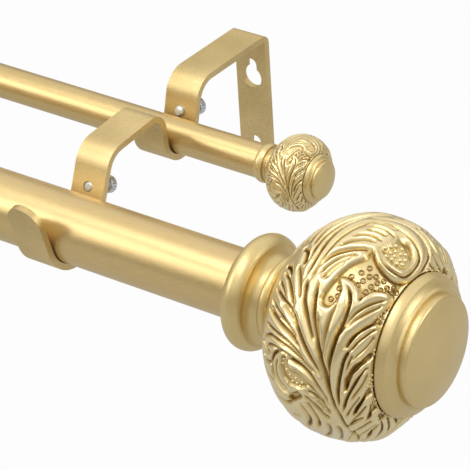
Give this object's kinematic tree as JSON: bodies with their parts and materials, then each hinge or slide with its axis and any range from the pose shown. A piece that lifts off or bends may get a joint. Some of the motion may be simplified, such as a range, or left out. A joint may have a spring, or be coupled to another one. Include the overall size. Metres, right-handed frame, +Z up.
{
  "type": "double curtain pole",
  "caption": "Double telescopic curtain pole: a thick front pole and a slim rear pole in bent-strip wall brackets, with carved ball finials and knurled lock screws.",
  "frame": {"origin": "middle of the right bracket's wall face, half-way between its two keyholes", "axes": "X runs along the poles towards the right finials, +Y points into the wall, +Z is up"},
  "size_m": [0.8023, 0.1606, 0.0782],
  "materials": {
    "strip_gold": "satin gold paint on bent steel strip",
    "tube_gold": "satin gold paint on steel tube",
    "turned_gold": "satin gold paint on cast resin",
    "carved_gold": "glossy gold paint on cast resin",
    "plug_plastic": "matt black moulded plastic",
    "zinc": "bright zinc-plated steel"
  },
  "bodies": {
    "frame": {"bracket_right": "strip_gold", "bracket_left": "strip_gold", "front_outer_tube": "tube_gold", "rear_outer_tube": "tube_gold", "right_front_plug": "plug_plastic", "right_front_collar": "turned_gold", "right_front_ball": "carved_gold", "right_front_cap": "turned_gold", "right_front_stud": "zinc", "right_rear_plug": "plug_plastic", "right_rear_collar": "turned_gold", "right_rear_ball": "carved_gold", "right_rear_cap": "turned_gold", "right_rear_stud": "zinc"},
    "front_slide": {"front_inner_tube": "tube_gold", "left_front_plug": "plug_plastic", "left_front_collar": "turned_gold", "left_front_ball": "carved_gold", "left_front_cap": "turned_gold", "left_front_stud": "zinc"},
    "rear_slide": {"rear_inner_tube": "tube_gold", "left_rear_plug": "plug_plastic", "left_rear_collar": "turned_gold", "left_rear_ball": "carved_gold", "left_rear_cap": "turned_gold", "left_rear_stud": "zinc"},
    "right_front_screw": {"right_front_lock_screw": "zinc"},
    "right_rear_screw": {"right_rear_lock_screw": "zinc"},
    "left_front_screw": {"left_front_lock_screw": "zinc"},
    "left_rear_screw": {"left_rear_lock_screw": "zinc"}
  },
  "joints": [
    {"name": "front_pole_slide", "type": "slide", "parent": "frame", "child": "front_slide", "axis": [-1, 0, 0], "range_m": [-0.018, 0.5]},
    {"name": "rear_pole_slide", "type": "slide", "parent": "frame", "child": "rear_slide", "axis": [-1, 0, 0], "range_m": [-0.018, 0.5]},
    {"name": "right_front_screw_travel", "type": "slide", "parent": "frame", "child": "right_front_screw", "axis": [0, 0.9272, -0.3746], "range_m": [-0.0045, 0.006]},
    {"name": "right_rear_screw_travel", "type": "slide", "parent": "frame", "child": "right_rear_screw", "axis": [0, 0.9659, -0.2588], "range_m": [-0.0012, 0.006]},
    {"name": "left_front_screw_travel", "type": "slide", "parent": "frame", "child": "left_front_screw", "axis": [0, 0.9272, -0.3746], "range_m": [-0.0045, 0.006]},
    {"name": "left_rear_screw_travel", "type": "slide", "parent": "frame", "child": "left_rear_screw", "axis": [0, 0.9659, -0.2588], "range_m": [-0.0012, 0.006]}
  ]
}
